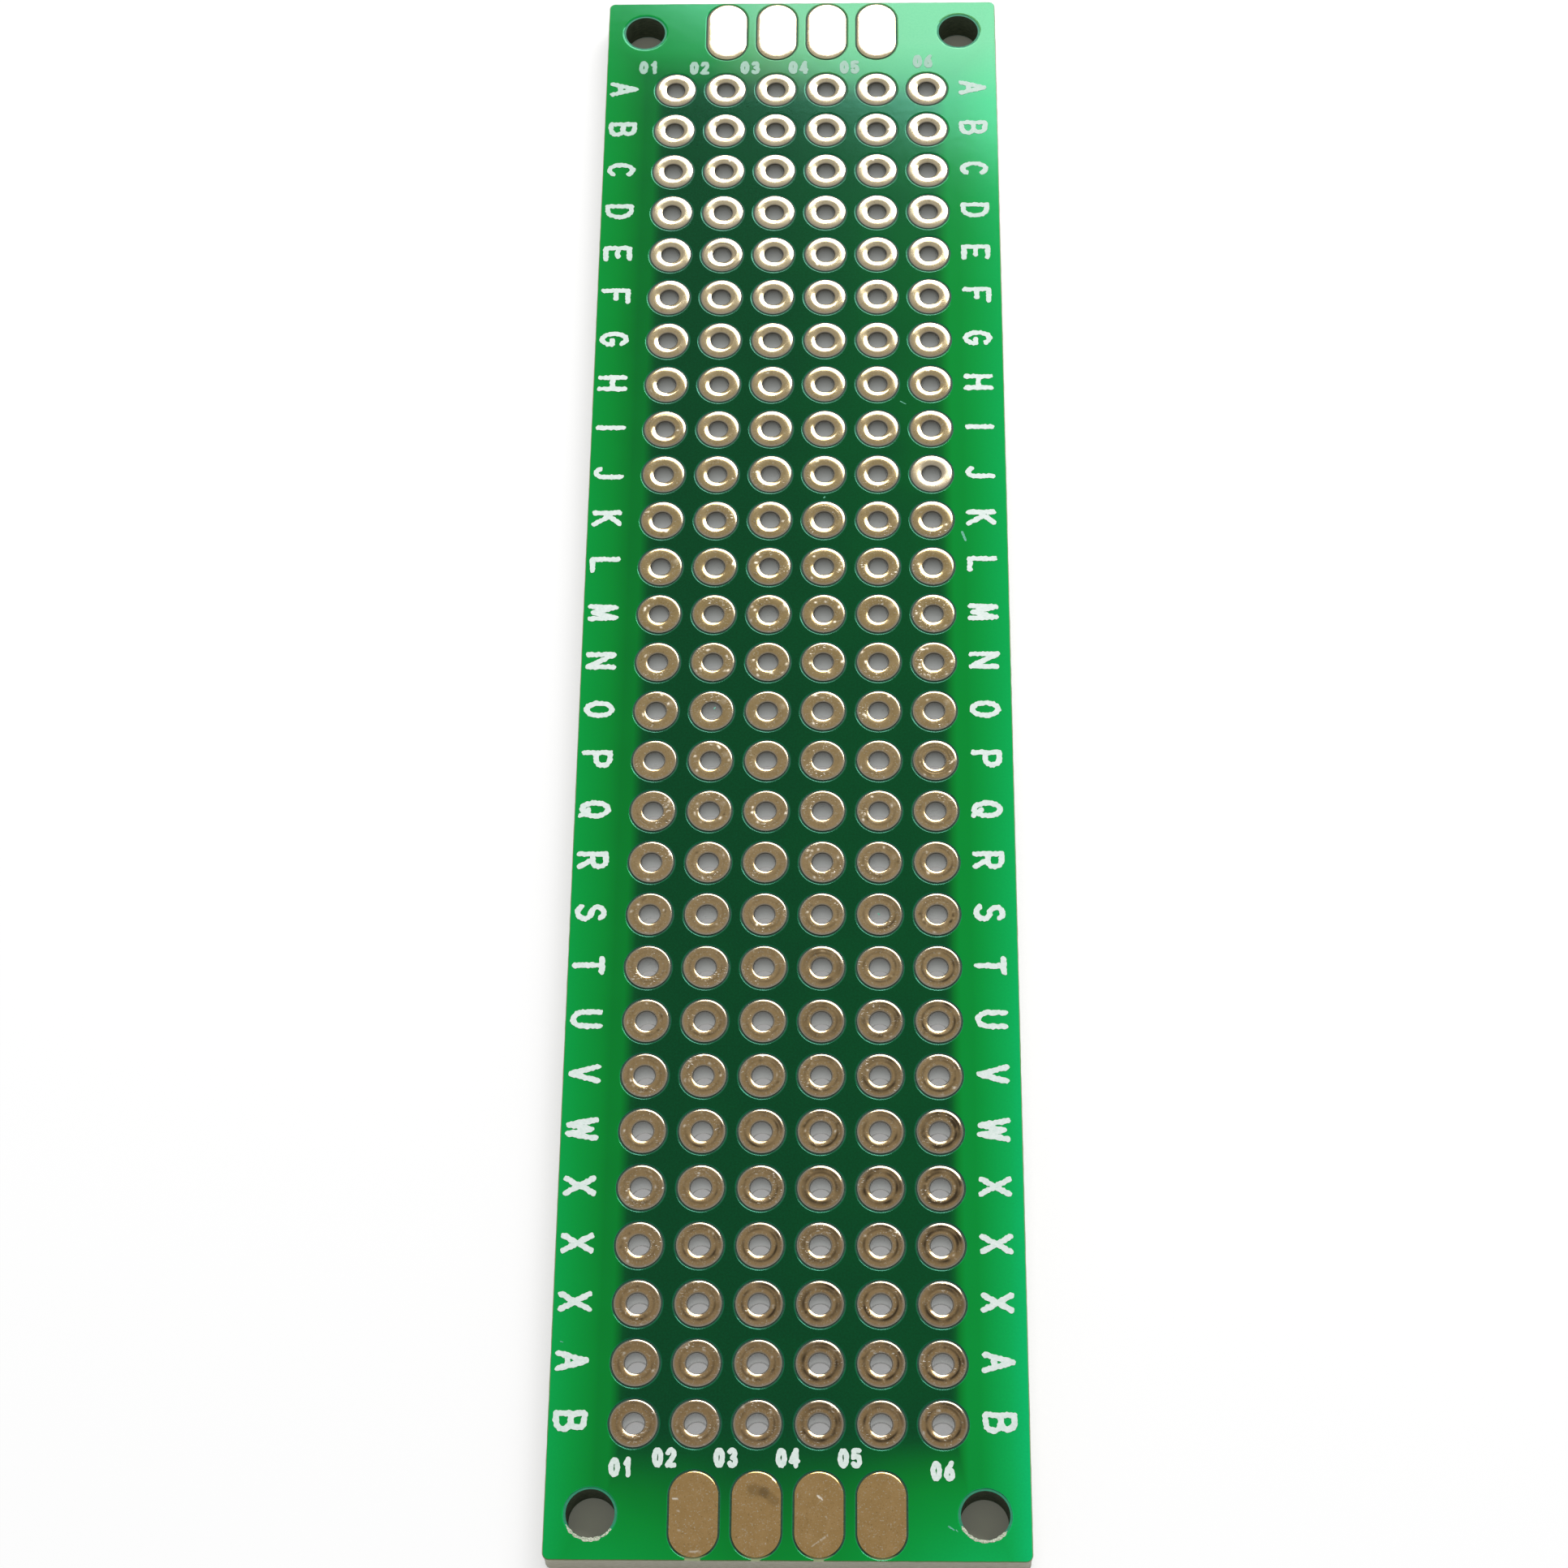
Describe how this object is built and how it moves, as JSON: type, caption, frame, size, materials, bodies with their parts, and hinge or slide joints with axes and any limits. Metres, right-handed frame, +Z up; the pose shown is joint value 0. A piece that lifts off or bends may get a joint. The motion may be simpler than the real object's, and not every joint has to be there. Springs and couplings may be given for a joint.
{
  "type": "bare circuit board",
  "caption": "Unpopulated double-sided prototyping board with a grid of plated holes, long pads at each end and corner mounting holes.",
  "frame": {"origin": "middle of the board, on the plane that the lower pads rest on", "axes": "+X across the board's columns, +Y along its length towards the end where row 1 lies, +Z up out of the legend side"},
  "size_m": [0.0198, 0.0798, 0.0017],
  "materials": {
    "glass_epoxy": "pale translucent glass-epoxy laminate with rough cut edges",
    "solder_mask": "thin glossy green solder mask",
    "tinned_pads": "solder-tinned copper, satin, warm grey-brown with fine scratches",
    "legend_ink": "thin white silkscreen ink with slightly ragged edges"
  },
  "bodies": {
    "root": {"core": "glass_epoxy", "solder_mask_top": "solder_mask", "solder_mask_bottom": "solder_mask", "edge_pads_top_near": "tinned_pads", "edge_pads_top_far": "tinned_pads", "edge_pads_bottom_near": "tinned_pads", "edge_pads_bottom_far": "tinned_pads", "plated_holes_row_01": "tinned_pads", "plated_holes_row_02": "tinned_pads", "plated_holes_row_03": "tinned_pads", "plated_holes_row_04": "tinned_pads", "plated_holes_row_05": "tinned_pads", "plated_holes_row_06": "tinned_pads", "plated_holes_row_07": "tinned_pads", "plated_holes_row_08": "tinned_pads", "plated_holes_row_09": "tinned_pads", "plated_holes_row_10": "tinned_pads", "plated_holes_row_11": "tinned_pads", "plated_holes_row_12": "tinned_pads", "plated_holes_row_13": "tinned_pads", "plated_holes_row_14": "tinned_pads", "plated_holes_row_15": "tinned_pads", "plated_holes_row_16": "tinned_pads", "plated_holes_row_17": "tinned_pads", "plated_holes_row_18": "tinned_pads", "plated_holes_row_19": "tinned_pads", "plated_holes_row_20": "tinned_pads", "plated_holes_row_21": "tinned_pads", "plated_holes_row_22": "tinned_pads", "plated_holes_row_23": "tinned_pads", "plated_holes_row_24": "tinned_pads", "plated_holes_row_25": "tinned_pads", "plated_holes_row_26": "tinned_pads", "plated_holes_row_27": "tinned_pads", "plated_holes_row_28": "tinned_pads"}
  },
  "joints": []
}
